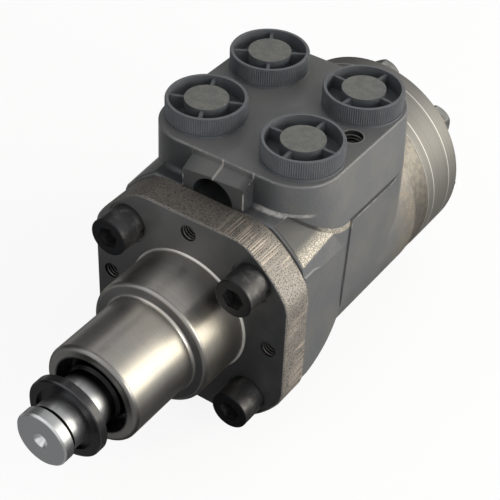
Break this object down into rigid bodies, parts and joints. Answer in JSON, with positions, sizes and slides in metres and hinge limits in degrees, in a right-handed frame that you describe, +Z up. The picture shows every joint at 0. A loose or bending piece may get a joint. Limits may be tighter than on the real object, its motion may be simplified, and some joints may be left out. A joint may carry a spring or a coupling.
{
  "type": "orbital steering unit",
  "caption": "Hydraulic orbital steering unit with necked mounting flange, splined rotary valve, inner gear set, port block with plugs and a screwed end cover.",
  "frame": {"origin": "centre of the bracket hole circle, on the shaft axis at the front face of the neck flange", "axes": "+Y along the shaft axis from the input shaft to the end cover, +Z up through the port face, +X to the right seen from the shaft end"},
  "size_m": [0.091, 0.2316, 0.1136],
  "materials": {
    "neck_steel": "machined neck and smooth dark flange face, rough cast rim",
    "housing_iron": "satin gunmetal grey casting",
    "turned_steel": "turned, dark warm sheen",
    "black_oxide": "black oxide, oily satin",
    "ground_steel": "ground bright steel",
    "spring_steel": "blued spring strip",
    "zinc_steel": "dull grey screw steel",
    "copper": "soft copper washer",
    "seal_rubber": "black nitrile rubber",
    "plug_plastic": "dark grey moulded plastic"
  },
  "bodies": {
    "case": {"neck_flange": "neck_steel", "flange_screws": "black_oxide", "flange_lock_washers": "black_oxide", "flange_o_ring": "seal_rubber", "valve_housing": "housing_iron", "neck_bearing_shell": "ground_steel", "neck_lip_seal": "seal_rubber", "neck_circlip": "black_oxide", "spool_seal_ring": "seal_rubber", "thrust_race_front": "ground_steel", "distributor_plate": "turned_steel", "gear_ring": "turned_steel", "end_cover": "turned_steel", "housing_face_o_ring": "seal_rubber", "ring_front_o_ring": "seal_rubber", "ring_rear_o_ring": "seal_rubber", "cover_washers": "copper", "cover_screws": "zinc_steel", "pin_screw": "zinc_steel", "check_bush": "ground_steel"},
    "neck_needle_set": {"neck_bearing_needles": "ground_steel", "neck_bearing_cage": "ground_steel"},
    "thrust_needle_set": {"thrust_needles": "ground_steel", "thrust_cage": "ground_steel"},
    "sleeve": {"control_sleeve": "ground_steel", "cross_pin": "ground_steel", "spring_ring": "ground_steel", "thrust_race_rear": "ground_steel", "leaf_springs": "spring_steel"},
    "spool": {"control_spool": "ground_steel", "input_shaft": "ground_steel", "shaft_collar": "black_oxide"},
    "orbit": {"cardan_spacer": "ground_steel"},
    "star": {"gear_star": "ground_steel"},
    "cardan": {"cardan_shaft": "ground_steel"},
    "check_ball": {"check_ball": "ground_steel"},
    "plug_front_right": {"port_plug_front_right": "plug_plastic"},
    "plug_front_left": {"port_plug_front_left": "plug_plastic"},
    "plug_rear_right": {"port_plug_rear_right": "plug_plastic"},
    "plug_rear_left": {"port_plug_rear_left": "plug_plastic"}
  },
  "joints": [
    {"name": "sleeve_turn", "type": "hinge", "parent": "case", "child": "sleeve", "pos_m": [0, 0.067, 0], "axis": [0, 1, 0], "continuous": true},
    {"name": "valve_swing", "type": "hinge", "parent": "sleeve", "child": "spool", "pos_m": [0, 0.0295, 0], "axis": [0, 1, 0], "range_deg": [-8, 8], "stiffness_Nm_per_rad": 4, "deforming": ["leaf_springs"]},
    {"name": "gear_orbit", "type": "hinge", "parent": "case", "child": "orbit", "pos_m": [0, 0.1245, 0], "axis": [0, 1, 0], "continuous": true},
    {"name": "star_turn", "type": "hinge", "parent": "orbit", "child": "star", "pos_m": [0, 0.1245, 0.0025], "axis": [0, 1, 0], "continuous": true},
    {"name": "cardan_turn", "type": "hinge", "parent": "orbit", "child": "cardan", "pos_m": [0, 0.048, 0], "axis": [0, 0.9995, 0.0327], "continuous": true},
    {"name": "neck_needle_turn", "type": "hinge", "parent": "case", "child": "neck_needle_set", "pos_m": [0, -0.042, 0], "axis": [0, 1, 0], "continuous": true},
    {"name": "thrust_needle_turn", "type": "hinge", "parent": "case", "child": "thrust_needle_set", "pos_m": [0, 0.02, 0], "axis": [0, 1, 0], "continuous": true},
    {"name": "check_ball_lift", "type": "slide", "parent": "case", "child": "check_ball", "axis": [0, 1, 0], "range_m": [0, 0.0015]},
    {"name": "plug_lift_front_right", "type": "slide", "parent": "case", "child": "plug_front_right", "axis": [0, 0, 1], "range_m": [0, 0.08]},
    {"name": "plug_lift_front_left", "type": "slide", "parent": "case", "child": "plug_front_left", "axis": [0, 0, 1], "range_m": [0, 0.08]},
    {"name": "plug_lift_rear_right", "type": "slide", "parent": "case", "child": "plug_rear_right", "axis": [0, 0, 1], "range_m": [0, 0.08]},
    {"name": "plug_lift_rear_left", "type": "slide", "parent": "case", "child": "plug_rear_left", "axis": [0, 0, 1], "range_m": [0, 0.08]}
  ],
  "couplings": [
    {"joint": "gear_orbit", "follows": "sleeve_turn", "ratio": -6},
    {"joint": "star_turn", "follows": "sleeve_turn", "ratio": 7},
    {"joint": "cardan_turn", "follows": "sleeve_turn", "ratio": 7},
    {"joint": "neck_needle_turn", "follows": "sleeve_turn", "ratio": 0.45},
    {"joint": "thrust_needle_turn", "follows": "sleeve_turn", "ratio": 0.5}
  ]
}
